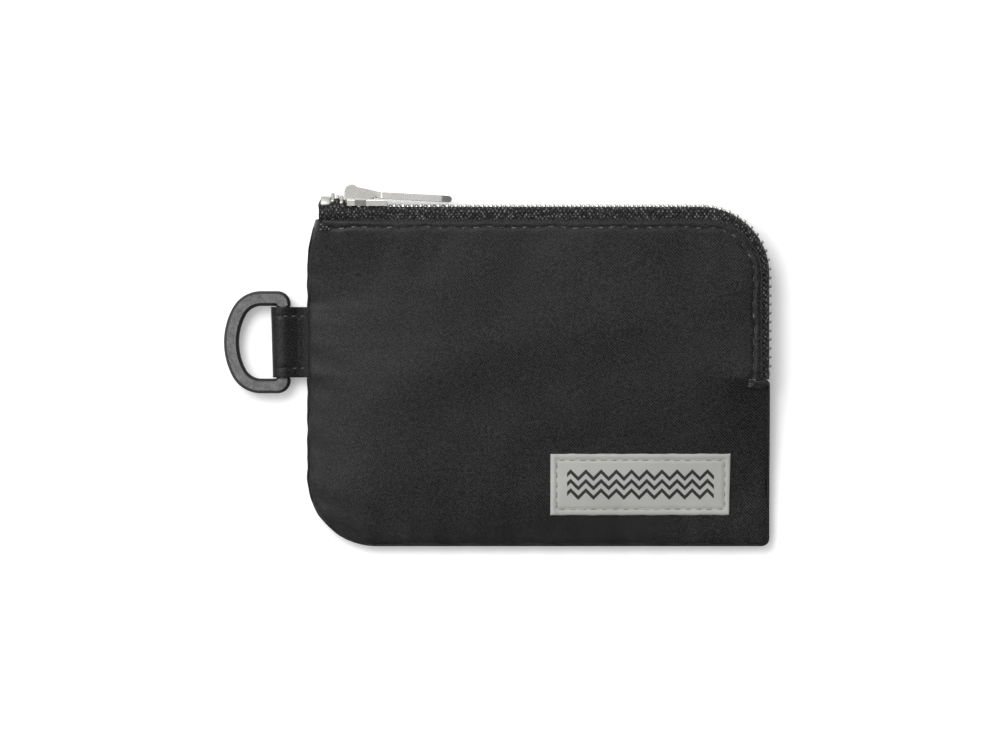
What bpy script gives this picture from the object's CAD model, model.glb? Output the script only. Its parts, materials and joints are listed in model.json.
import json
import math

import bpy
import bmesh
import numpy as np
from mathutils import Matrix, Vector


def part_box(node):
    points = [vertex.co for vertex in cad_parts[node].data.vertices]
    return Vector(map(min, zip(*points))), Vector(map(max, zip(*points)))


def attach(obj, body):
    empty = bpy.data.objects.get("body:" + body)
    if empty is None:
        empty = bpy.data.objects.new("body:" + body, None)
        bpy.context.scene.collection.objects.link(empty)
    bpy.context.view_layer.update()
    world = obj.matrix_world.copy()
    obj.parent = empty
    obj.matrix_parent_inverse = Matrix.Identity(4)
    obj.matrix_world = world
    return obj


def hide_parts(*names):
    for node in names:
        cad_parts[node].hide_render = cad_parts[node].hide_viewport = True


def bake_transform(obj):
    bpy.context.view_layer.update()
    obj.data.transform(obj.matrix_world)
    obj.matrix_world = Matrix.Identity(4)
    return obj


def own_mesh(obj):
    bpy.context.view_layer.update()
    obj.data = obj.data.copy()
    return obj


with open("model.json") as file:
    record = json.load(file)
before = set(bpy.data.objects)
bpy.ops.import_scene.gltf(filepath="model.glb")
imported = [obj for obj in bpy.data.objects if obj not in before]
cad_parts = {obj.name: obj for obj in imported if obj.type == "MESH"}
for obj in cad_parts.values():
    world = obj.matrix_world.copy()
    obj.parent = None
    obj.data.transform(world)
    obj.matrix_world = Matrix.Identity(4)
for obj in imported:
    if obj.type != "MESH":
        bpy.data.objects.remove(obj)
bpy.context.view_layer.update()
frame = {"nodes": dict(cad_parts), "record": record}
MM = 0.001
JOINTS = {joint["name"]: joint for joint in frame["record"]["behaviour"]["joints"]}


def span(node):
    """Lowest and highest corners of a CAD node, in millimetres."""
    low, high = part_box(node)
    return np.array(low) / MM, np.array(high) / MM


# ---------------------------------------------------------------- sizes in mm
PANEL_LOW, PANEL_HIGH = span("front_panel")
BACK_LOW, _ = span("back_panel")
_, TEETH_HIGH = span("front_teeth")
TAPE_LOW, _ = span("front_zip_tape")
LABEL_LOW, LABEL_HIGH = span("woven_label")
STRAP_LOW, STRAP_HIGH = span("ring_strap")
SLIDER_LOW, SLIDER_HIGH = span("slider_body")
TACK_LOW, TACK_HIGH = span("zip_end_bartack")
FLOOR_Z = BACK_LOW[2]

LEFT, RIGHT = PANEL_LOW[0], PANEL_HIGH[0]
BOTTOM, FOLD_TOP = PANEL_LOW[1], PANEL_HIGH[1]
THICK = PANEL_HIGH[2]
MID = THICK / 2
FOLD_RIGHT = 61.6
FOLD_CORNER = 15.5
SHOULDER_X, SHOULDER_Y = -61.6, 28.0
BOTTOM_LEFT_R, BOTTOM_RIGHT_R = 19.2, 2.2
ZIP_END_Y = TAPE_LOW[1]
SEAM_Z = 3.05
FOLD_Z = THICK - 0.9
CLOTH, LINING_CLOTH = 0.5, 0.25
LINING_IN, LINING_BELOW, LINING_ABOVE = 2.2, -0.75, 1.25
ROLL = 0.9  # height of the cloth's turned edge at a seam
DOME = 3.4
OVER_PANEL = 0.55  # how far the cloth may rise above the CAD panel
ZIP_STEP_DOWN, ZIP_STEP_LONG = 2.4, 2.2  # where, below the zip's end, the seam gives way to the fold
FOLD_RISE_DOWN, FOLD_RISE_LONG, FOLD_RISE_IN = 26, 40, 7

TOOTH_HIGH = 1.9
CHAIN_Y = TEETH_HIGH[1] - TOOTH_HIGH / 2
CORNER_X, CORNER_Y = 44.8, 28.2
CHAIN_R = CHAIN_Y - CORNER_Y
CHAIN_START = TAPE_LOW[0]
TOOTH_PITCH = 2.43
TAPE_EDGE = 2.1
TAPE_BEND_R = 1.3
TAPE_HEM = 6.5
TAPE_THICK, TAPE_STEP, TAPE_POINTS, TAPE_BEND_POINTS = 0.5, 0.45, 16, 8
FIRST_TOOTH = 3.8
TAPE_TOP = THICK - 1.75
SLIDE = JOINTS["zipper_slide"]["range_m"][1] / MM
SPLIT_X = (SLIDER_LOW[0] + SLIDER_HIGH[0]) / 2 + SLIDE

STRAP_Y = (STRAP_LOW[1] + STRAP_HIGH[1]) / 2
STRAP_WIDE = STRAP_HIGH[1] - STRAP_LOW[1]
HINGE_X, _, HINGE_Z = np.array(JOINTS["strap_flex"]["pos_m"]) / MM
BAR_X, _, BAR_Z = np.array(JOINTS["ring_swing"]["pos_m"]) / MM

TOP_INSET, TOP_PITCH = 2.3, 3.4
LABEL_INSET, LABEL_PITCH = 1.7, 2.9
TOP_THREAD_R, TACK_THREAD_R, LABEL_THREAD_R, STRAP_THREAD_R = 0.22, 0.16, 0.17, 0.17
THREAD_FLAT = 0.7
RNG = np.random.default_rng(7)


# ------------------------------------------------------------- mesh builders
def mesh_object(name, points, faces):
    """A smooth-shaded mesh in the scene from points in millimetres."""
    mesh = bpy.data.meshes.new(name)
    mesh.from_pydata((np.asarray(points, float) * MM).tolist(), [], faces)
    mesh.update()
    for polygon in mesh.polygons:
        polygon.use_smooth = True
    piece = bpy.data.objects.new(name, mesh)
    bpy.context.scene.collection.objects.link(piece)
    return piece


def grid_faces(rows, columns, closed=False):
    """Quads over a grid of points stored row by row; closed joins the last column to the first."""
    faces = []
    last = columns if closed else columns - 1
    for row in range(rows - 1):
        for column in range(last):
            after = (column + 1) % columns
            here = row * columns
            faces.append((here + column, here + after, here + columns + after, here + columns + column))
    return faces


def grid_object(name, grid, flip=False):
    """A sheet from an array of points shaped (rows, columns, 3)."""
    rows, columns = grid.shape[:2]
    faces = grid_faces(rows, columns)
    if flip:
        faces = [face[::-1] for face in faces]
    return mesh_object(name, grid.reshape(-1, 3), faces)


def thicken(piece, thickness, offset=-1.0):
    """Gives a sheet the thickness of its cloth, as real faces."""
    solid = piece.modifiers.new("cloth thickness", "SOLIDIFY")
    solid.thickness = thickness * MM
    solid.offset = offset
    apply_modifiers(piece)
    return piece


def apply_modifiers(piece):
    """Puts every modifier's result into the mesh."""
    graph = bpy.context.evaluated_depsgraph_get()
    graph.update()
    mesh = bpy.data.meshes.new_from_object(piece.evaluated_get(graph))
    piece.modifiers.clear()
    piece.data = mesh
    for polygon in piece.data.polygons:
        polygon.use_smooth = True


def capsule(points, faces, start, end, radius, up=(0, 0, 1)):
    """Adds one sewn thread to the lists: a rounded run from start to end that dips in at both ends."""
    start, end, up = np.array(start, float), np.array(end, float), np.array(up, float)
    along = end - start
    length = np.linalg.norm(along)
    along /= length
    side = np.cross(up, along)
    side /= np.linalg.norm(side)
    up = np.cross(along, side)
    rings, around = 7, 8
    base = len(points)
    for ring in range(rings):
        share = ring / (rings - 1)
        swell = math.sqrt(max(1 - (2 * share - 1) ** 4, 0.0)) * radius + 0.02
        centre = start + along * length * share - up * radius * 0.9 * (2 * share - 1) ** 4
        for step in range(around):
            angle = 2 * math.pi * step / around
            sideways, upwards = side * math.cos(angle) * swell, up * math.sin(angle) * swell * THREAD_FLAT
            points.append(centre + sideways + upwards)
    close_tube(faces, base, rings, around)


def close_tube(faces, base, rings, around):
    """Adds the sides and both ends of a tube whose rings of points start at base."""
    for face in grid_faces(rings, around, closed=True):
        faces.append(tuple(index + base for index in face))
    faces.append(tuple(base + step for step in range(around))[::-1])
    faces.append(tuple(base + (rings - 1) * around + step for step in range(around)))


def rounded_bar(points, faces, sections, corner, centre, along, out, axis):
    """Adds a bar of rounded-square sections, each (place on the axis, length, height)."""
    around = 16
    base = len(points)
    for run, long, high in sections:
        for step in range(around):
            angle = 2 * math.pi * (step + 0.5) / around
            c, s = math.cos(angle), math.sin(angle)
            u = math.copysign(abs(c) ** corner, c) * long / 2
            v = math.copysign(abs(s) ** corner, s) * high / 2
            points.append(centre + along * u + out * v + axis * run)
    close_tube(faces, base, len(sections), around)


def finish_piece(piece, material, body=None):
    """Material, slot and body of a piece that rides on one body."""
    piece.data.materials.clear()
    piece.data.materials.append(material)
    if body:
        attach(piece, body)
    return piece


def recalculate(piece):
    """Turns every face outwards."""
    work = bmesh.new()
    work.from_mesh(piece.data)
    bmesh.ops.recalc_face_normals(work, faces=work.faces)
    work.to_mesh(piece.data)
    work.free()


def closed_piece(name, points, faces, material, body=None):
    """A finished piece from closed shapes gathered in the lists."""
    piece = mesh_object(name, points, faces)
    recalculate(piece)
    return finish_piece(piece, material, body)


# ------------------------------------------------------------------ materials
class Shader:
    """Short names for building one node material."""

    def __init__(self, name):
        self.material = bpy.data.materials.new(name)
        self.material.use_nodes = True
        self.tree = self.material.node_tree
        self.surface = self.tree.nodes["Principled BSDF"]
        self.place = self.tree.nodes.new("ShaderNodeTexCoord").outputs["Object"]

    def node(self, kind, inputs=(), **settings):
        made = self.tree.nodes.new(kind)
        for key, value in settings.items():
            setattr(made, key, value)
        for key, value in dict(inputs).items():
            if isinstance(value, bpy.types.NodeSocket):
                self.tree.links.new(value, made.inputs[key])
            else:
                made.inputs[key].default_value = value
        return made

    def math(self, operation, first, second=0.0, third=0.0):
        return self.node("ShaderNodeMath", {0: first, 1: second, 2: third}, operation=operation).outputs[0]

    def noise(self, scale, detail=3.0, rough=0.5, distortion=0.0):
        inputs = {
            "Vector": self.place,
            "Scale": scale,
            "Detail": detail,
            "Roughness": rough,
            "Distortion": distortion,
        }
        return self.node("ShaderNodeTexNoise", inputs).outputs["Fac"]

    def vector(self, operation, first, second):
        return self.node("ShaderNodeVectorMath", {0: first, 1: second}, operation=operation)

    def stripes(self, direction, pitch_mm, wobble=None):
        """0..1 ridges across a direction, one every pitch."""
        unit = Vector(direction).normalized() * (2 * math.pi / (pitch_mm * MM))
        across = self.vector("DOT_PRODUCT", wobble or self.place, unit).outputs["Value"]
        return self.math("MULTIPLY_ADD", self.math("SINE", across), 0.5, 0.5)

    def wobbled(self, scale, amount_mm):
        """The place, pushed about a little, so that woven lines aren't ruler-straight."""
        inputs = {"Vector": self.place, "Scale": scale, "Detail": 2.0}
        push = self.node("ShaderNodeTexNoise", inputs).outputs["Color"]
        centred = self.vector("SUBTRACT", push, (0.5, 0.5, 0.5)).outputs[0]
        size = {0: centred, "Scale": amount_mm * MM}
        scaled = self.node("ShaderNodeVectorMath", size, operation="SCALE").outputs[0]
        return self.vector("ADD", self.place, scaled).outputs[0]

    def remap(self, value, low, high, to_low, to_high):
        inputs = {"Value": value, 1: low, 2: high, 3: to_low, 4: to_high}
        return self.node("ShaderNodeMapRange", inputs).outputs[0]

    def mix(self, share, first, second):
        made = self.node("ShaderNodeMix", data_type="RGBA")
        for socket, value in zip((made.inputs[0], made.inputs[6], made.inputs[7]), (share, first, second)):
            if isinstance(value, bpy.types.NodeSocket):
                self.tree.links.new(value, socket)
            else:
                socket.default_value = value if isinstance(value, float) else (*value, 1.0)
        return made.outputs[2]

    def bump(self, height, strength, distance_mm, under=None):
        inputs = {"Height": height, "Strength": strength, "Distance": distance_mm * MM}
        if under is not None:
            inputs["Normal"] = under
        return self.node("ShaderNodeBump", inputs).outputs[0]

    def set(self, **values):
        for key, value in values.items():
            socket = self.surface.inputs[key.replace("_", " ")]
            if isinstance(value, bpy.types.NodeSocket):
                self.tree.links.new(value, socket)
            elif isinstance(value, tuple) and len(value) == 3 and socket.type == "RGBA":
                socket.default_value = (*value, 1.0)
            else:
                socket.default_value = value
        return self.material


def twill_material(name, dark, light, pitch, lean=(0.75, 0.66, 0.35)):
    """Satin nylon twill: fine slanting ribs, soft sheen in patches, lint and light wear."""
    s = Shader(name)
    place = s.wobbled(320.0, 0.3)
    ribs = s.stripes(lean, pitch, place)
    yarn = s.stripes((lean[1], -lean[0] * 0.3, lean[2]), pitch * 0.8, place)
    weave = s.math("MULTIPLY", ribs, s.remap(yarn, 0.0, 1.0, 0.45, 1.0))
    patches = s.noise(38.0, 3.0, 0.55, 0.6)
    fibre = s.noise(2100.0, 2.0, 0.65)
    tone = s.math("MULTIPLY_ADD", patches, 0.25, s.math("MULTIPLY", weave, 0.55))
    tone = s.math("MULTIPLY_ADD", fibre, 1.5, tone)
    colour = s.mix(s.remap(tone, 0.85, 1.5, 0.0, 1.0), dark, light)
    worn = s.math("MULTIPLY_ADD", patches, 0.7, s.math("MULTIPLY", fibre, 0.3))
    rough = s.remap(worn, 0.3, 0.7, 0.38, 0.55)
    soft = s.bump(s.noise(420.0, 2.0), 0.25, 0.12)
    fine = s.bump(s.math("MULTIPLY_ADD", fibre, 0.3, weave), 0.5, 0.06, soft)
    return s.set(
        Base_Color=colour,
        Roughness=rough,
        Normal=fine,
        Sheen_Weight=0.05,
        Sheen_Roughness=0.4,
        Sheen_Tint=(0.8, 0.82, 0.86),
        Specular_IOR_Level=0.2,
    )


def coarse_tape_material(name, dark, light):
    """Zip tape: a coarse ribbed weave with pale flecks where the yarns turn over."""
    s = Shader(name)
    place = s.wobbled(900.0, 0.75)
    first = s.stripes((0.8, 0.6, 0.5), 0.78, place)
    second = s.stripes((-0.8, 0.6, 0.5), 0.78, place)
    knots = s.math("MULTIPLY", first, second)
    fleck = s.noise(1250.0, 3.0, 0.75)
    tone = s.math("MULTIPLY", s.math("POWER", knots, 1.5), s.remap(fleck, 0.45, 0.64, 0.05, 1.6))
    tone = s.math("MULTIPLY_ADD", s.remap(fleck, 0.52, 0.68, 0.0, 1.0), 0.25, tone)
    colour = s.mix(tone, dark, light)
    relief = s.bump(s.math("MULTIPLY_ADD", fleck, 0.25, knots), 0.9, 0.22)
    return s.set(
        Base_Color=colour,
        Roughness=s.remap(fleck, 0.3, 0.7, 0.6, 0.85),
        Normal=relief,
        Sheen_Weight=0.05,
        Sheen_Roughness=0.5,
        Specular_IOR_Level=0.2,
    )


def thread_material(name, dark, light):
    """Twisted polyester thread with small glints."""
    s = Shader(name)
    twist = s.stripes((1.0, 1.0, 0.6), 0.28)
    glint = s.noise(900.0, 2.0, 0.6)
    tone = s.math("MULTIPLY", twist, s.remap(glint, 0.47, 0.62, 0.05, 1.0))
    return s.set(
        Base_Color=s.mix(tone, dark, light),
        Roughness=s.remap(glint, 0.3, 0.7, 0.32, 0.6),
        Normal=s.bump(twist, 0.6, 0.05),
        Sheen_Weight=0.3,
        Sheen_Roughness=0.4,
    )


def metal_material(name, bright, dull, rough_low, rough_high, scratch=0.15, rim=0.0):
    """Nickel-plated zinc: faint drawn scratches, handling marks and duller hollows."""
    s = Shader(name)
    marks = s.noise(260.0, 4.0, 0.6, 0.4)
    stretched = s.node(
        "ShaderNodeMapping", {"Vector": s.place, "Scale": (240.0, 3200.0, 3200.0)}
    ).outputs[0]
    drawn = s.node(
        "ShaderNodeTexNoise", {"Vector": stretched, "Scale": 1.0, "Detail": 3.0}
    ).outputs["Fac"]
    wear = s.math("MULTIPLY_ADD", drawn, 0.5, s.math("MULTIPLY", marks, 0.5))
    colour = s.mix(s.remap(wear, 0.35, 0.6, 0.0, 1.0), dull, bright)
    if rim:
        grazing = s.node("ShaderNodeLayerWeight", {"Blend": 0.5}).outputs["Facing"]
        colour = s.mix(s.remap(grazing, 0.25, 0.9, 0.0, rim), colour, (0.05, 0.05, 0.05))
    return s.set(
        Base_Color=colour,
        Metallic=1.0,
        Roughness=s.remap(wear, 0.3, 0.65, rough_high, rough_low),
        Normal=s.bump(s.math("MULTIPLY_ADD", drawn, 0.4, marks), scratch, 0.05),
    )


def plastic_material(name, dark, light):
    """Moulded acetal with a sand-like grain, scuffed paler on the faces that rub."""
    s = Shader(name)
    grain = s.noise(2400.0, 3.0, 0.65)
    coarse = s.noise(520.0, 2.0, 0.6)
    normal = s.node("ShaderNodeTexCoord").outputs["Normal"]
    up = s.node("ShaderNodeSeparateXYZ", {0: normal}).outputs["Z"]
    facing = s.remap(s.math("ABSOLUTE", up), 0.8, 0.98, 0.0, 1.0)
    sand = s.math("MULTIPLY_ADD", coarse, 0.35, s.math("MULTIPLY", grain, 0.65))
    speckle = s.remap(sand, 0.38, 0.62, 0.25, 1.0)
    return s.set(
        Base_Color=s.mix(s.math("MULTIPLY", facing, speckle), dark, light),
        Roughness=s.remap(grain, 0.3, 0.7, 0.42, 0.6),
        Normal=s.bump(s.math("MULTIPLY_ADD", coarse, 0.5, grain), 0.5, 0.12),
        Specular_IOR_Level=0.5,
    )


def label_material(name):
    """Woven satin label: fine cross weave and three rows of woven zigzag, a generic motif."""
    s = Shader(name)
    across = s.stripes((1.0, 0.0, 0.0), 0.24)
    along = s.stripes((0.0, 1.0, 0.0), 0.3)
    weave = s.math("MULTIPLY_ADD", across, 0.4, s.math("MULTIPLY", along, 0.6))
    cloud = s.noise(95.0, 3.0, 0.55, 0.5)
    parts = s.node("ShaderNodeSeparateXYZ", {0: s.wobbled(600.0, 0.12)})
    centre = (LABEL_LOW + LABEL_HIGH) / 2 * MM
    x = s.math("SUBTRACT", parts.outputs["X"], float(centre[0]))
    y = s.math("SUBTRACT", parts.outputs["Y"], float(centre[1]))
    zigzag_high, row_gap, line_half, end_margin = 2.1 * MM, 2.6 * MM, 0.6 * MM, 4.6 * MM
    zigzag = s.math("SUBTRACT", s.math("PINGPONG", s.math("ADD", x, 1.0), zigzag_high), zigzag_high / 2)
    rise = s.math("ABSOLUTE", s.math("SUBTRACT", y, zigzag))
    offset = s.math("ABSOLUTE", s.math("SUBTRACT", rise, row_gap))
    in_line = s.math("LESS_THAN", s.math("MINIMUM", offset, rise), line_half)
    band_half = (LABEL_HIGH[0] - LABEL_LOW[0]) / 2 * MM - end_margin
    in_band = s.math("LESS_THAN", s.math("ABSOLUTE", x), band_half)
    ink = s.math("MULTIPLY", in_line, in_band)
    tone = s.math("MULTIPLY_ADD", cloud, 0.7, s.math("MULTIPLY", weave, 0.3))
    pale = s.mix(tone, (0.32, 0.323, 0.302), (0.47, 0.473, 0.447))
    colour = s.mix(ink, pale, (0.02, 0.02, 0.021))
    return s.set(
        Base_Color=colour,
        Roughness=s.remap(cloud, 0.3, 0.7, 0.5, 0.7),
        Normal=s.bump(weave, 0.45, 0.05, s.bump(s.noise(240.0, 2.0), 0.3, 0.2)),
        Sheen_Weight=0.2,
        Sheen_Roughness=0.4,
        Specular_IOR_Level=0.35,
    )


def floor_material():
    """Plain pale studio floor, lit a little from beneath as on a light table."""
    s = Shader("studio floor")
    return s.set(
        Base_Color=(0.93, 0.93, 0.93),
        Roughness=0.8,
        Specular_IOR_Level=0.1,
        Emission_Color=(1.0, 1.0, 1.0),
        Emission_Strength=0.22,
    )


NEAR_BLACK = (0.0005, 0.0005, 0.0005)
TWILL = twill_material("satin nylon twill", NEAR_BLACK, (0.036, 0.036, 0.0365), 0.56)
STRAP_TWILL = twill_material("strap twill", NEAR_BLACK, (0.032, 0.032, 0.0325), 0.54, (0.66, 0.75, 0.3))
LINING = twill_material("lining cloth", (0.02, 0.02, 0.022), (0.05, 0.05, 0.053), 0.4, (1.0, 0.15, 0.2))
BINDING = coarse_tape_material("binding tape", (0.01, 0.01, 0.01), (0.045, 0.045, 0.045))
TAPE = coarse_tape_material("zip tape weave", (0.004, 0.004, 0.004), (0.2, 0.2, 0.195))
BLACK_THREAD = thread_material("black thread", (0.004, 0.004, 0.004), (0.2, 0.2, 0.2))
LABEL_THREAD = thread_material("label thread", (0.22, 0.22, 0.19), (0.5, 0.5, 0.46))
TEETH_METAL = metal_material(
    "teeth nickel", (0.66, 0.65, 0.62), (0.33, 0.33, 0.32), 0.24, 0.42, scratch=0.3, rim=0.55
)
SLIDER_METAL = metal_material(
    "slider nickel", (0.76, 0.75, 0.71), (0.46, 0.455, 0.43), 0.18, 0.36, scratch=0.35, rim=0.25
)
PULL_METAL = metal_material(
    "pull nickel", (0.78, 0.77, 0.73), (0.52, 0.515, 0.49), 0.18, 0.34, scratch=0.2, rim=0.25
)
SPRING_STEEL = metal_material("spring steel", (0.6, 0.6, 0.6), (0.4, 0.4, 0.4), 0.25, 0.4)
RING_PLASTIC = plastic_material("moulded ring plastic", (0.010, 0.010, 0.011), (0.17, 0.17, 0.17))
LABEL_CLOTH = label_material("label weave")


# --------------------------------------------------------------- cover shapes
def left_edge(y):
    """Left outline of the pouch at a height along it."""
    x = np.full_like(y, LEFT)
    low = y < BOTTOM + BOTTOM_LEFT_R
    drop = np.clip(BOTTOM + BOTTOM_LEFT_R - y, 0, BOTTOM_LEFT_R)
    x = np.where(low, LEFT + BOTTOM_LEFT_R - np.sqrt(BOTTOM_LEFT_R**2 - drop**2), x)
    rise = np.clip((y - SHOULDER_Y) / (FOLD_TOP - SHOULDER_Y), 0, 1)
    return x + (SHOULDER_X - LEFT) * rise**2.2 + 0.12 * sines(y, 31, ((9.0, 0.5), (5.3, 0.5))) * (1 - rise)


def right_edge(y):
    """Right outline: the fold beside the zip, the step at its end, then the seam."""
    seam = np.full_like(y, RIGHT)
    drop = np.clip(BOTTOM + BOTTOM_RIGHT_R - y, 0, BOTTOM_RIGHT_R)
    seam = seam - BOTTOM_RIGHT_R + np.sqrt(BOTTOM_RIGHT_R**2 - drop**2)
    rise = np.clip(y - (FOLD_TOP - FOLD_CORNER), 0, FOLD_CORNER)
    fold = FOLD_RIGHT - FOLD_CORNER + np.sqrt(FOLD_CORNER**2 - rise**2)
    step = smooth(np.clip((y - ZIP_END_Y + 1.9) / 2.2, 0, 1))
    return seam + (fold - seam) * step


def smooth(share):
    """Eases a 0..1 share in and out."""
    return share * share * (3 - 2 * share)


def fold_distance(x, y):
    """Distance in from the folded edge along the zip."""
    centre_x, centre_y = FOLD_RIGHT - FOLD_CORNER, FOLD_TOP - FOLD_CORNER
    dx, dy = x - centre_x, y - centre_y
    corner = (dx > 0) & (dy > 0)
    from_top, from_right = FOLD_TOP - y, FOLD_RIGHT - x
    from_arc = FOLD_CORNER - np.hypot(dx, dy)
    distance = np.where(corner, from_arc, np.where(dx > dy - 1e-9, from_right, from_top))
    distance = np.where((~corner) & (dx <= 0) & (dy <= 0), np.minimum(from_top, from_right), distance)
    return np.maximum(distance, 0)


def sines(value, seed, waves):
    """Smooth uneven ripple made of a few waves of different lengths."""
    generator = np.random.default_rng(seed)
    total = np.zeros_like(value)
    for length, size in waves:
        total += size * np.sin(2 * np.pi * value / length + generator.uniform(0, 6.28))
    return total


def seam_heights(y):
    """Heights of the left and right seams; both climb to mid-height towards the zip's ends."""
    strap_top = STRAP_Y + STRAP_WIDE / 2
    left_rise = smooth(np.clip((y - strap_top) / (FOLD_TOP - strap_top), 0, 1))
    right_rise = smooth(np.clip((y - BOTTOM - 6) / (ZIP_END_Y - BOTTOM - 6), 0, 1))
    return SEAM_Z + (MID - SEAM_Z) * left_rise, SEAM_Z + (MID - SEAM_Z) * right_rise


def beside_zip(y):
    """0 along the closed right seam, 1 beside the zip above its end."""
    return smooth(np.clip((y - ZIP_END_Y + ZIP_STEP_DOWN) / ZIP_STEP_LONG, 0, 1))


def strap_bulge(y):
    """How much of the strap's thickness lifts the side seam here."""
    beyond = np.abs(y - STRAP_Y) - STRAP_WIDE / 2
    return 1 - smooth(np.clip(beyond / 2.5 + 0.4, 0, 1))


def edge_distances(x, y):
    """Distances in from the left, right and bottom outlines, never below zero."""
    from_left, from_right = x - left_edge(y), right_edge(y) - x
    return np.maximum(from_left, 0), np.maximum(from_right, 0), np.maximum(y - BOTTOM, 0)


def front_height(x, y):
    """Height of the front cloth: low at the sewn seams, high along the zip, gently domed."""
    from_left, from_right, from_bottom = edge_distances(x, y)
    from_top = np.maximum(FOLD_TOP - y, 0)
    left_z, right_z = seam_heights(y)
    gentle = smooth(np.clip((y - ZIP_END_Y + FOLD_RISE_DOWN) / FOLD_RISE_LONG, 0, 1))
    to_fold = FOLD_Z - right_z
    weights = [1 / (distance + 0.4) ** 1.6 for distance in (from_left, from_right, from_bottom, from_top)]
    heights = (left_z, right_z + to_fold * gentle, SEAM_Z, FOLD_Z)
    base = sum(w * h for w, h in zip(weights, heights)) / sum(weights)
    base = base + to_fold * (beside_zip(y) - gentle) * np.exp(-((from_right / FOLD_RISE_IN) ** 2))
    dome = DOME * np.tanh(from_left / 16) * np.tanh(from_bottom / 16)
    dome = dome * np.tanh(from_top / 30) * np.tanh(from_right / 30)
    height = base + dome
    slant = y + 0.35 * from_left
    pucker = sines(slant, 3, ((7.7, 0.5), (12.9, 0.7), (21.0, 0.6)))
    reach = 6.0 + 2.5 * np.sin(y / 6.3 + 1.0)
    height += 0.3 * pucker * np.exp(-from_left / reach) * np.tanh(from_left / 1.2)
    right_pucker = sines(y - 0.3 * from_right, 5, ((4.3, 0.5), (6.9, 0.6), (11.0, 0.4)))
    below_zip = smooth(np.clip((y + 20) / 20, 0, 1))
    height += 0.16 * right_pucker * below_zip * np.exp(-from_right / 6) * np.tanh(from_right / 0.8)
    base_pucker = sines(x, 8, ((9.3, 0.5), (6.1, 0.4), (15.7, 0.7)))
    height += 0.12 * base_pucker * np.exp(-from_bottom / 6) * np.tanh(from_bottom / 0.8)
    calm = np.tanh(from_left / 9) * np.tanh(from_bottom / 9) * np.tanh(from_top / 6)
    height += 0.2 * sines(x - 0.4 * y, 11, ((37.0, 1.0), (23.0, 0.6))) * calm * np.exp(-from_top / 22)
    height += 0.12 * sines(y - x * 0.3, 13, ((23.0, 1.0), (41.0, 1.0))) * calm
    height += settled(x, y)
    inward = fold_distance(x, y)
    zipped = beside_zip(y)
    groove = np.exp(-(((inward - stitch_inset(x, y)) / 0.55) ** 2))
    height -= 0.34 * groove * zipped
    height -= 0.95 * np.exp(-((inward / 0.55) ** 1.3)) * zipped
    tuck = np.hypot(x - RIGHT + 3.6, (y - ZIP_END_Y + 1.6) * 1.3)
    height += 0.5 * np.exp(-((tuck / 1.5) ** 2)) - 0.35 * np.exp(-(((tuck - 2.6) / 0.8) ** 2))
    far_away = 99
    sewn_right = from_right + far_away * zipped
    nearest = np.minimum(np.minimum(from_left, from_bottom), sewn_right)
    height += ROLL * (1 - np.exp(-nearest / ROLL)) - ROLL * np.exp(-nearest / 0.3)
    height += 0.75 * strap_bulge(y) * np.exp(-from_left / 6)
    ceiling = THICK + OVER_PANEL
    return ceiling - soft_floor(ceiling - height)


def soft_floor(gap):
    """A gap that never quite closes, so that heights ease in under a ceiling."""
    return np.log1p(np.exp(np.clip(gap * 2.2, -40, 40))) / 2.2


def back_height(x, y):
    """Height of the back cloth: flat on the table, turned up to the seam at its edges."""
    from_left, from_right, from_bottom = edge_distances(x, y)
    left_z, right_z = seam_heights(y)
    sewn_left = 1 - smooth(np.clip((y - FOLD_TOP + 2.5) / 2.5, 0, 1))
    sewn_right = 1 - beside_zip(y)
    near_left, near_bottom = np.exp(-from_left / 4.2), np.exp(-from_bottom / 3.5)
    near_right = np.exp(-from_right / 4.2)
    lift = (left_z - ROLL) * near_left * sewn_left
    lift = np.maximum(lift, (SEAM_Z - ROLL) * near_bottom)
    lift = np.maximum(lift, (right_z - ROLL) * near_right * sewn_right)
    roll = np.maximum(np.exp(-from_left / 0.5) * sewn_left, np.exp(-from_right / 0.5) * sewn_right)
    lift += ROLL * np.maximum(roll, np.exp(-from_bottom / 0.5))
    edge = np.minimum(np.minimum(from_left, from_bottom), from_right)
    inward = fold_distance(x, y)
    zipped = beside_zip(y)
    lift += 0.2 * np.exp(-(((inward - TOP_INSET) / 0.5) ** 2)) * zipped
    lift += 0.15 * (1 + sines(x + y, 17, ((9.7, 0.5), (15.1, 0.5)))) * np.exp(-edge / 6)
    return FLOOR_Z + 0.06 + np.maximum(lift, 0)


def spread_rows(count, low, high):
    """Positions from low to high, closer together near both ends."""
    even = np.linspace(0, 1, count)
    eased = (1 - np.cos(np.pi * even)) / 2
    return low + (high - low) * (0.45 * even + 0.55 * eased)


def cover_grid(height_at, rows=190, columns=250, inset=0.0, raise_by=0.0):
    """Points of a cover's surface on a grid that follows its outline."""
    y = spread_rows(rows, BOTTOM + inset + 0.01, FOLD_TOP - inset)
    across = spread_rows(columns, 0.0, 1.0)
    left, right = left_edge(y) + inset, right_edge(y) - inset
    x = left[:, None] + (right - left)[:, None] * across[None, :]
    level = np.repeat(y[:, None], columns, axis=1)
    height = height_at(x.ravel(), level.ravel()).reshape(x.shape) + raise_by
    return np.stack([x, level, height], axis=2)


FOLDS = {}  # what the cloth simulation found; stays empty when it is skipped


def stitch_inset(x, y):
    """How far in from the fold the topstitch runs; it wanders a little."""
    along = x - y
    return TOP_INSET + 0.28 * sines(along, 41, ((17.0, 0.6), (9.1, 0.5), (5.3, 0.25)))


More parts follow.
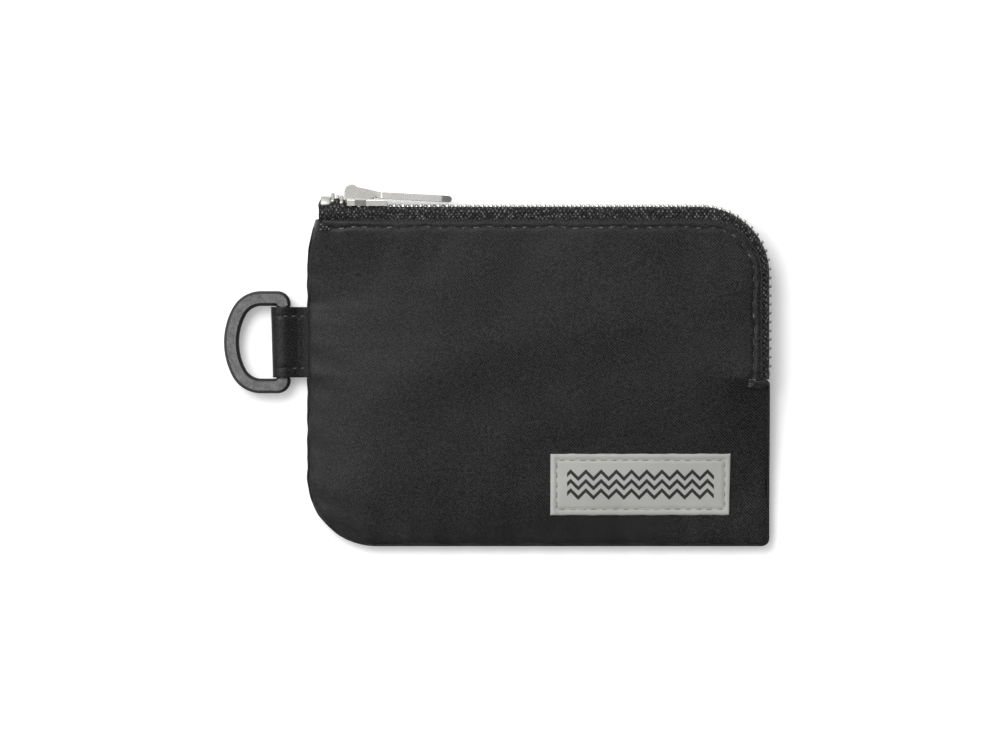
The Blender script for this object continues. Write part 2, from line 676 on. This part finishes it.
def settled(x, y):
    """Rise and fall of the front cloth found by the cloth simulation, at any place on it."""
    if "rise" not in FOLDS:
        return np.zeros_like(x)
    rise, levels = FOLDS["rise"], FOLDS["levels"]
    rows, columns = rise.shape
    row = np.clip(np.interp(y, levels, np.arange(rows)), 0, rows - 1.001)
    wide = right_edge(y) - left_edge(y)
    column = np.clip((x - left_edge(y)) / wide, 0, 1)
    column = np.clip(np.interp(column, FOLDS["across"], np.arange(columns)), 0, columns - 1.001)
    r, c = row.astype(int), column.astype(int)
    fr, fc = row - r, column - c
    low = rise[r, c] * (1 - fc) + rise[r, c + 1] * fc
    high = rise[r + 1, c] * (1 - fc) + rise[r + 1, c + 1] * fc
    return low * (1 - fr) + high * fr


def simulate_front():
    """Lets a large copy of the front cloth settle: held at its seams and gathered a little along them."""
    rows, columns, frames, grow = 100, 136, 26, 10.0
    grid = cover_grid(front_height, rows, columns)
    trial = grid_object("cloth_trial", grid * grow)
    x, y = grid[:, :, 0].ravel(), grid[:, :, 1].ravel()
    from_left, from_right = x - left_edge(y), right_edge(y) - x
    from_bottom, inward = y - BOTTOM, fold_distance(x, y)
    zipped = y > ZIP_END_Y - 3
    held = (from_left < 0.9) | (from_bottom < 0.9) | (from_right < 0.9)
    held |= zipped & (inward < TOP_INSET + 0.3)
    ease = 0.25 + 0.75 * smooth(np.clip(0.5 + 0.5 * np.sin(y / 5.1 + 0.8) + 0.3 * np.sin(y / 2.3), 0, 1))
    gather = ease * np.exp(-from_left / 7) + 0.7 * ease * np.exp(-from_right / 6) * (y > -28)
    gather += 0.55 * np.exp(-from_bottom / 5) + 0.75 * np.exp(-inward / 6) * zipped
    pins = trial.vertex_groups.new(name="held")
    for index in np.flatnonzero(held):
        pins.add([int(index)], 1.0, "REPLACE")
    gathers = trial.vertex_groups.new(name="gather")
    for index, weight in enumerate(np.clip(gather, 0, 1)):
        gathers.add([index], float(weight), "REPLACE")
    cloth = trial.modifiers.new("cloth", "CLOTH")
    cloth.settings.quality = 5
    cloth.settings.mass = 0.2
    cloth.settings.tension_stiffness = 25
    cloth.settings.compression_stiffness = 25
    cloth.settings.shear_stiffness = 8
    cloth.settings.bending_stiffness = 1.2
    cloth.settings.vertex_group_mass = "held"
    cloth.settings.vertex_group_shrink = "gather"
    cloth.settings.shrink_min = -0.0004
    cloth.settings.shrink_max = -0.045
    cloth.settings.effector_weights.gravity = 0.0
    cloth.collision_settings.use_collision = False
    cloth.point_cache.frame_start = 1
    cloth.point_cache.frame_end = frames
    scene = bpy.context.scene
    for frame_number in range(1, frames + 1):
        scene.frame_set(frame_number)
    apply_modifiers(trial)
    after = np.array([tuple(vertex.co) for vertex in trial.data.vertices])[:, 2] / (grow * MM)
    scene.frame_set(1)
    rise = (after - grid[:, :, 2].ravel()).reshape(rows, columns)
    bpy.data.objects.remove(trial)
    FOLDS["rise"] = 0.9 * np.tanh(rise / 0.9)
    FOLDS["levels"] = grid[:, 0, 1]
    FOLDS["across"] = spread_rows(columns, 0.0, 1.0)


def make_covers():
    """Front and back cloth with their linings and the binding between them."""
    front = grid_object("cover_front", cover_grid(front_height))
    thicken(front, CLOTH)
    finish_piece(front, TWILL, "pouch")
    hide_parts("front_panel")
    back = grid_object("cover_back", cover_grid(back_height), flip=True)
    thicken(back, CLOTH)
    finish_piece(back, TWILL, "pouch")
    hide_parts("back_panel")
    lowered = cover_grid(front_height, 70, 90, LINING_IN, LINING_BELOW)
    lining_front = grid_object("front_lining_cloth", lowered)
    thicken(lining_front, LINING_CLOTH)
    finish_piece(lining_front, LINING, "pouch")
    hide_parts("front_lining")
    raised = cover_grid(back_height, 70, 90, LINING_IN, LINING_ABOVE)
    lining_back = grid_object("back_lining_cloth", raised, flip=True)
    thicken(lining_back, LINING_CLOTH)
    finish_piece(lining_back, LINING, "pouch")
    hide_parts("back_lining")


def binding_route(inset):
    """Places just inside the sewn seams, from the zip's end round to the zip's start."""
    places = [(RIGHT - inset, y) for y in np.linspace(ZIP_END_Y - 3, BOTTOM + 4, 30)]
    places += [(x, BOTTOM + inset) for x in np.linspace(RIGHT - 4, LEFT + BOTTOM_LEFT_R, 70)]
    radius = BOTTOM_LEFT_R - inset
    for angle in np.linspace(-90, -180, 24)[1:]:
        turn = math.radians(angle)
        places.append((
            LEFT + BOTTOM_LEFT_R + radius * math.cos(turn),
            BOTTOM + BOTTOM_LEFT_R + radius * math.sin(turn),
        ))
    places += [(LEFT + inset, y) for y in np.linspace(BOTTOM + BOTTOM_LEFT_R, 24, 34)[1:]]
    return np.array(places)


def make_binding():
    """Ribbed tape folded over the raw edges inside the seams."""
    outer, inner = binding_route(2.6), binding_route(6.0)
    level = SEAM_Z + 0.1
    middle = inner * 0.5 + outer * 0.5
    profile = [(outer, 0.35), (middle, 0.5), (inner, 0.0), (middle, -0.5), (outer, -0.35)]
    grid = np.stack(
        [np.column_stack([route, np.full(len(route), level + rise)]) for route, rise in profile], axis=0
    )
    binding = grid_object("binding_strip", grid)
    thicken(binding, 0.2)
    finish_piece(binding, BINDING, "pouch")
    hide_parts("seam_binding")


simulate_front()
make_covers()
make_binding()


# ------------------------------------------------------------------- the zip
def zip_point(distance, start_x, corner_x, corner_y, radius):
    """Place on, and direction out of, a run that goes right, round the corner and down."""
    top_run = corner_x - start_x
    bend_run = radius * math.pi / 2
    if distance < top_run:
        return (start_x + distance, corner_y + radius), (0.0, 1.0)
    if distance < top_run + bend_run:
        turned = (distance - top_run) / radius
        out = (math.sin(turned), math.cos(turned))
        return (corner_x + radius * out[0], corner_y + radius * out[1]), out
    return (corner_x + radius, corner_y - (distance - top_run - bend_run)), (1.0, 0.0)


def chain_place(distance):
    return zip_point(distance, CHAIN_START, CORNER_X, CORNER_Y, CHAIN_R)


def parted(x, y):
    """1 where the tapes lie apart at the open end, 0 where the slider has closed them."""
    if y < CORNER_Y + CHAIN_R - 1:
        return 0.0
    return float(np.clip((SLIDER_LOW[0] + 5.0 - x) / 8.0, 0, 1) ** 0.8)


def leaned(distance, out):
    """The zip's own axes: upright where the slider runs, leaning forward past the corner."""
    angle = 0.2 * smooth(np.clip((distance - CORNER_X + CHAIN_START - 4) / (CHAIN_R * 1.4), 0, 1))
    across = np.array([out[0], out[1], 0.0])
    up = np.array([0.0, 0.0, 1.0])
    return across * math.cos(angle) - up * math.sin(angle), up * math.cos(angle) + across * math.sin(angle)


def tape_profile(share):
    """Section of the front tape as (out, up from the middle), from its beaded edge to its hem."""
    top = TAPE_TOP - MID
    closed = [(0.0, TAPE_EDGE), (0.0, 2.55)]
    for turn in np.linspace(0, math.pi / 2, TAPE_BEND_POINTS):
        outwards, upwards = TAPE_BEND_R * math.cos(turn), TAPE_BEND_R * math.sin(turn)
        closed.append((-TAPE_BEND_R + outwards, top - TAPE_BEND_R + upwards))
    flat_points = TAPE_POINTS - 2 - TAPE_BEND_POINTS
    closed += [(-TAPE_BEND_R - run, top) for run in np.linspace(0.8, TAPE_HEM - TAPE_BEND_R, flat_points)]
    opened = [(2.5 - 5.0 * t, 2.75 + 2.05 * t ** 0.7) for t in np.linspace(0, 1, 10)]
    opened += [(-2.5 - run, top) for run in np.linspace(0.4, TAPE_HEM - 2.5, flat_points)]
    return [
        ((1 - share) * a[0] + share * b[0], (1 - share) * a[1] + share * b[1])
        for a, b in zip(closed, opened)
    ]


def tape_grid(side, first, last):
    """Points of one tape between two distances along the chain."""
    rows = []
    for distance in np.linspace(first, last, int((last - first) / TAPE_STEP) + 2):
        (x, y), out = chain_place(distance)
        share = parted(x, y)
        flat_out, flat_up = np.array([out[0], out[1], 0.0]), np.array([0.0, 0.0, 1.0])
        lean_out, lean_up = leaned(distance, out)
        end = max(distance / 1.8, 0.0)
        corner = 1.6 * (1 - math.sqrt(1 - (1 - min(end, 1.0)) ** 2))
        row = []
        for number, (p, q) in enumerate(tape_profile(share)):
            fade = smooth(min(number / 7, 1.0))
            across = lean_out * (1 - fade) + flat_out * fade
            up = lean_up * (1 - fade) + flat_up * fade
            back = corner * max(1 - number / 6, 0.0) if CHAIN_LONG - distance > 10 else 0.0
            row.append(np.array([x, y, MID]) + across * (p - back) + up * side * q)
        rows.append(row)
    return np.array(rows)


CHAIN_LONG = CORNER_X - CHAIN_START + CHAIN_R * math.pi / 2 + CORNER_Y - ZIP_END_Y
SPLIT_LONG = SPLIT_X - CHAIN_START


def part_with_slider(piece):
    """The rows and tapes behind the slider come apart as it runs along the zip."""
    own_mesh(piece)


def make_tapes():
    """Both tapes, each in the length the slider runs over and the length beyond."""
    for side, word in ((1, "front"), (-1, "back")):
        for part, first, last in (("open", 0.0, SPLIT_LONG), ("shut", SPLIT_LONG, CHAIN_LONG + 0.4)):
            grid = tape_grid(side, first, last)
            tape = grid_object(f"tape_{word}_{part}", grid, flip=side < 0)
            thicken(tape, TAPE_THICK, 0.0)
            finish_piece(tape, TAPE, "pouch")
            if part == "open":
                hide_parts(f"{word}_zip_tape")
                part_with_slider(tape)


# Sections of a tooth from its tip to its legs: (place on its axis, length, height).
TOOTH_SECTIONS = (
    (-0.72, 0.55, 1.05),
    (-0.55, 0.86, 1.5),
    (-0.1, 1.04, 1.78),
    (0.6, 1.08, 1.82),
    (1.2, 0.84, 1.5),
    (1.6, 1.0, 1.7),
    (2.1, 1.05, 1.88),
    (2.58, 0.98, 1.84),
    (2.74, 0.74, 1.5),
)
STOP_SECTIONS = ((-0.35, 0.55), (-0.2, 0.9), (0.5, 1.0), (1.8, 1.0), (2.3, 0.92), (2.5, 0.6))
STOP_LONG, STOP_HIGH = 2.9, 1.7


def spread_at(x):
    """How far the slider's post holds a row from the middle."""
    return 1.25 * float(np.clip((-48.0 - x) / 3.0, 0, 1))


def make_teeth():
    """Both rows of teeth, half a pitch apart, turned outwards where the tapes part."""
    for side, word, first in ((1, "front", FIRST_TOOTH), (-1, "back", FIRST_TOOTH + TOOTH_PITCH / 2)):
        runs = {"open": ([], []), "shut": ([], [])}
        count = int((CHAIN_LONG - first) / TOOTH_PITCH)
        for number in range(count):
            distance = first + number * TOOTH_PITCH
            (x, y), outward = chain_place(distance)
            share = parted(x, y)
            out, up = leaned(distance, outward)
            up = up * side
            along = np.cross(out, up)
            profile = tape_profile(share)
            edge, back = np.array(profile[0]), np.array(profile[1])
            lean = (back - edge) / np.linalg.norm(back - edge)
            axis = out * lean[0] + up * lean[1]
            face = np.cross(axis, along)
            face *= np.sign(np.dot(face, out)) or 1.0
            grip = np.array([x, y, MID]) + out * edge[0] + up * edge[1]
            centre = grip - axis * ((TAPE_EDGE - spread_at(x)) * (1 - share) + 0.9 * share)
            points, faces = runs["open" if distance < SPLIT_LONG else "shut"]
            rounded_bar(points, faces, TOOTH_SECTIONS, 0.5, centre, along, face, axis)
        for part, (points, faces) in runs.items():
            teeth = closed_piece(f"teeth_{word}_{part}", points, faces, TEETH_METAL, "pouch")
            if part == "open":
                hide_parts(f"{word}_teeth")
                part_with_slider(teeth)


def make_top_stops():
    """Metal clips pinched over the beaded edges at the open end."""
    for side, word in ((1, "front"), (-1, "back")):
        (x, y), _ = chain_place(1.9)
        profile = tape_profile(1.0)
        edge, inner = np.array(profile[0]), np.array(profile[5])
        lean = (inner - edge) / np.linalg.norm(inner - edge)
        axis = np.array([0.0, lean[0], side * lean[1]])
        along = np.array([1.0, 0.0, 0.0])
        face = np.cross(along, axis)
        start = np.array([x, y + edge[0], MID + side * edge[1]])
        sections = [(run, STOP_LONG * size, STOP_HIGH * size) for run, size in STOP_SECTIONS]
        points, faces = [], []
        rounded_bar(points, faces, sections, 0.35, start, along, face, axis)
        stop = closed_piece(f"top_stop_{word}", points, faces, TEETH_METAL, "pouch")
        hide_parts(f"{word}_top_stop")
        part_with_slider(stop)


make_tapes()
make_teeth()
make_top_stops()


# ------------------------------------------------------------------ stitching
def fold_place(distance, inset):
    corner_x, corner_y = FOLD_RIGHT - FOLD_CORNER, FOLD_TOP - FOLD_CORNER
    return zip_point(distance, SHOULDER_X + 2.5, corner_x, corner_y, FOLD_CORNER - inset)


def make_topstitch():
    """Stitch line beside the fold, on the front and on the back."""
    length = FOLD_RIGHT - FOLD_CORNER - SHOULDER_X - 2.5 + (FOLD_CORNER - TOP_INSET) * math.pi / 2
    length += FOLD_TOP - FOLD_CORNER - ZIP_END_Y
    count = int(length / TOP_PITCH)
    for word, height_at, lift in (("front", front_height, 0.02), ("back", back_height, -0.06)):
        points, faces = [], []
        for number in range(count):
            jitter = RNG.uniform(-0.15, 0.15, 2)
            ends = []
            for run in (0.1, 0.68):
                distance = (number + run) * TOP_PITCH + jitter[0]
                (x, y), out = fold_place(distance, TOP_INSET)
                shift = stitch_inset(np.array([x]), np.array([y]))[0] - TOP_INSET + jitter[1] * 0.3
                x, y = x - out[0] * shift, y - out[1] * shift
                z = height_at(np.array([x]), np.array([y]))[0] + lift
                ends.append((x, y, z))
            capsule(points, faces, *ends, TOP_THREAD_R, up=(0, 0, 1 if word == "front" else -1))
        thread = closed_piece(f"topstitch_{word}", points, faces, BLACK_THREAD, "pouch")
        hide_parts(f"{word}_topstitch")


def make_bartack():
    """Dense zigzag of thread where the zip ends."""
    points, faces = [], []
    centre_x = (TACK_LOW[0] + TACK_HIGH[0]) / 2 + 0.4
    for number in range(9):
        y = ZIP_END_Y - 0.4 - number * 0.24
        x0, x1 = centre_x - 1.9, centre_x + 1.7
        z0, z1 = front_height(np.array([x0, x1]), np.array([y, y])) + 0.06
        lean = 0.12 if number % 2 else -0.12
        capsule(points, faces, (x0, y, z0), (x1, y + lean, z1), TACK_THREAD_R)
    tack = closed_piece("zip_end_tack", points, faces, BLACK_THREAD, "pouch")
    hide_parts("zip_end_bartack")


make_topstitch()
make_bartack()


# ---------------------------------------------------------------------- label
LABEL_CENTRE = (LABEL_LOW + LABEL_HIGH) / 2
LABEL_SIZE = LABEL_HIGH - LABEL_LOW


def label_height(x, y):
    """Top of the label: over the front cloth, drawn down along its stitches."""
    half_x, half_y = LABEL_SIZE[0] / 2, LABEL_SIZE[1] / 2
    edge = np.minimum(half_x - np.abs(x - LABEL_CENTRE[0]), half_y - np.abs(y - LABEL_CENTRE[1]))
    top = front_height(x, y) + 0.55
    top -= 0.22 * np.exp(-(((edge - LABEL_INSET) / 0.5) ** 2))
    top -= 0.3 * np.exp(-np.maximum(edge, 0) / 0.25)
    folded = np.exp(-(((x - LABEL_CENTRE[0] + half_x - 1.2) / 0.7) ** 2))
    top += 0.16 * folded
    ripple = sines(x, 21, ((2.9, 0.5), (7.3, 0.5))) * np.exp(-np.abs(edge - LABEL_INSET) / 1.2)
    return top + 0.05 * ripple + 0.05 * sines(x + y * 0.6, 23, ((13.0, 1.0), (8.1, 0.6)))


def make_label():
    """Woven label with a slightly skewed cut, sewn down all round."""
    u, v = np.meshgrid(np.linspace(-0.5, 0.5, 200), np.linspace(-0.5, 0.5, 76))
    x = LABEL_CENTRE[0] + LABEL_SIZE[0] * u + 0.35 * (v - 0.5) * (u > 0) * 2 * u
    y = LABEL_CENTRE[1] + LABEL_SIZE[1] * v + 0.06 * sines(x, 25, ((9.0, 0.6), (4.0, 0.4))) * np.abs(v) * 2
    z = label_height(x.ravel(), y.ravel()).reshape(x.shape)
    label = grid_object("label_patch", np.stack([x, y, z], axis=2))
    thicken(label, 0.5)
    finish_piece(label, LABEL_CLOTH, "pouch")
    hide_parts("woven_label")


def make_label_stitches():
    """Separate stitches round the label."""
    half_x, half_y = LABEL_SIZE[0] / 2 - LABEL_INSET, LABEL_SIZE[1] / 2 - LABEL_INSET
    corners = [(-half_x, half_y), (half_x, half_y), (half_x, -half_y), (-half_x, -half_y)]
    points, faces = [], []
    for number, start in enumerate(corners):
        start, end = np.array(start), np.array(corners[(number + 1) % 4])
        run = np.linalg.norm(end - start)
        count = round(run / LABEL_PITCH)
        for stitch in range(count):
            wander = RNG.uniform(-0.12, 0.12, 2)
            ends = []
            for share in (stitch + 0.12, stitch + 0.8):
                place = LABEL_CENTRE[:2] + start + (end - start) * share / count + wander * 0.5
                z = label_height(place[:1], place[1:2])[0] + 0.06
                ends.append((place[0], place[1], z))
            capsule(points, faces, *ends, LABEL_THREAD_R)
    thread = closed_piece("label_threads", points, faces, LABEL_THREAD, "pouch")
    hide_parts("label_stitching")


make_label()
make_label_stitches()


# ---------------------------------------------------------------------- strap
PLY = 0.7
LOOP_R = 2.55


def strap_line():
    """Side view of the strap's middle line: in from the seam, round the bar, and back."""
    ply_z = HINGE_Z + PLY / 2
    top_half = [(LEFT + 4.5, ply_z + 0.02), (LEFT, ply_z + 0.02), (HINGE_X, ply_z + 0.05)]
    top_half.append((HINGE_X - 1.6, HINGE_Z + 0.75))
    for angle in np.linspace(62, 180, 14):
        turn = math.radians(angle)
        top_half.append((BAR_X + LOOP_R * math.cos(turn), BAR_Z + LOOP_R * math.sin(turn)))
    return top_half, [(x, 2 * HINGE_Z - z) for x, z in reversed(top_half[:-1])]


def make_strap():
    """Folded tab: two plies sewn together, open round the ring's bar."""
    top_half, low_half = strap_line()
    line = np.array(top_half + low_half)
    steps = np.r_[0, np.cumsum(np.linalg.norm(np.diff(line, axis=0), axis=1))]
    along = np.linspace(0, steps[-1], 120)
    x, z = np.interp(along, steps, line[:, 0]), np.interp(along, steps, line[:, 1])
    kernel = np.ones(5) / 5
    x[2:-2], z[2:-2] = np.convolve(x, kernel, "valid"), np.convolve(z, kernel, "valid")
    across = np.linspace(-0.5, 0.5, 60)
    slack = 0.55 * (across + 0.5) * np.clip((HINGE_X - 3 - x[:, None]) / 5, 0, 1)
    grid_x = x[:, None] - slack
    grid_y = STRAP_Y + STRAP_WIDE * across[None, :] + 0 * grid_x
    rows = 1 - 0.12 * np.exp(-(((np.abs(across) - 0.37) / 0.02) ** 2))
    middle = HINGE_Z + (z[:, None] - HINGE_Z) * rows[None, :]
    grid = np.stack([grid_x, grid_y, middle], axis=2)
    strap = grid_object("ring_tab", grid)
    thicken(strap, PLY, 0.0)
    recalculate(strap)
    finish_piece(strap, STRAP_TWILL)
    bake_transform(strap)
    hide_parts("ring_strap", "strap_seam_end")
    points, faces = [], []
    for row in (-0.37, 0.37):
        for side in (1, -1):
            for number in range(3):
                start_x = HINGE_X + 0.9 - number * 2.4
                ends = []
                for run in (0.0, 1.6):
                    place = start_x - run
                    upper = line[: len(top_half)]
                    height = float(np.interp(-place, -upper[:, 0], upper[:, 1]))
                    z_here = HINGE_Z + side * ((height - HINGE_Z) * 0.9 + PLY / 2 + 0.03)
                    ends.append((place, STRAP_Y + STRAP_WIDE * row, z_here))
                capsule(points, faces, *ends, STRAP_THREAD_R, up=(0, 0, side))
    thread = closed_piece("ring_tab_threads", points, faces, BLACK_THREAD)
    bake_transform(thread)
    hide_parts("strap_stitching")


make_strap()


# ------------------------------------------------- CAD parts that stay as made
KEPT = {
    "d_ring": RING_PLASTIC,
    "slider_body": SLIDER_METAL,
    "slider_crown": SLIDER_METAL,
    "slider_lock_spring": SPRING_STEEL,
    "pull_tab": PULL_METAL,
    "bottom_stop": TEETH_METAL,
}
for node, material in KEPT.items():
    part = frame["nodes"][node]
    for slot in part.material_slots:
        slot.material = material


# ------------------------------------------------------ studio and the camera
def area_light(name, place, aim, size, power):
    """A soft square lamp that faces a point."""
    data = bpy.data.lights.new(name, "AREA")
    data.size = size
    data.energy = power
    lamp = bpy.data.objects.new(name, data)
    lamp.location = place
    lamp.rotation_euler = (Vector(aim) - Vector(place)).to_track_quat("-Z", "Y").to_euler()
    bpy.context.scene.collection.objects.link(lamp)


def make_studio():
    """Pale floor, soft key and fill from the left, surroundings brighter towards the upper left."""
    bpy.ops.mesh.primitive_plane_add(size=12, location=(0, 0, (FLOOR_Z - 0.05) * MM))
    floor = bpy.context.object
    floor.name = "floor"
    floor.data.materials.append(floor_material())
    area_light("key", (-0.42, 0.5, 0.85), (0, 0, 0), 0.7, 8.5)
    area_light("fill", (-0.5, -0.35, 0.85), (0, 0, 0), 0.8, 1.8)
    world = bpy.data.worlds.new("studio")
    world.use_nodes = True
    nodes, links = world.node_tree.nodes, world.node_tree.links
    place = nodes.new("ShaderNodeTexCoord").outputs["Generated"]
    side = nodes.new("ShaderNodeVectorMath")
    side.operation = "DOT_PRODUCT"
    side.inputs[1].default_value = (-0.6, 0.8, 0.0)
    links.new(place, side.inputs[0])
    level = nodes.new("ShaderNodeMapRange")
    from_low, from_high, darkest, brightest = -0.7, 0.7, 0.12, 0.85
    for number, value in enumerate((from_low, from_high, darkest, brightest), start=1):
        level.inputs[number].default_value = value
    links.new(side.outputs["Value"], level.inputs[0])
    links.new(level.outputs[0], nodes["Background"].inputs["Strength"])
    nodes["Background"].inputs["Color"].default_value = (1, 1, 1, 1)
    bpy.context.scene.world = world
    bpy.context.scene.view_settings.view_transform = "Standard"


def make_camera():
    """Straight above, far away with a long lens."""
    view_wide = 275.0 * MM
    centre_x, centre_y = -10.6 * MM, 2.9 * MM
    aim = Vector((centre_x, centre_y, 0))
    data = bpy.data.cameras.new("camera")
    data.lens = 150
    data.sensor_width = 36
    distance = view_wide * data.lens / data.sensor_width
    camera = bpy.data.objects.new("camera", data)
    camera.location = aim + Vector((0, 0, distance + THICK * MM))
    data.clip_end = 20
    bpy.context.scene.collection.objects.link(camera)
    bpy.context.scene.camera = camera


make_studio()
make_camera()
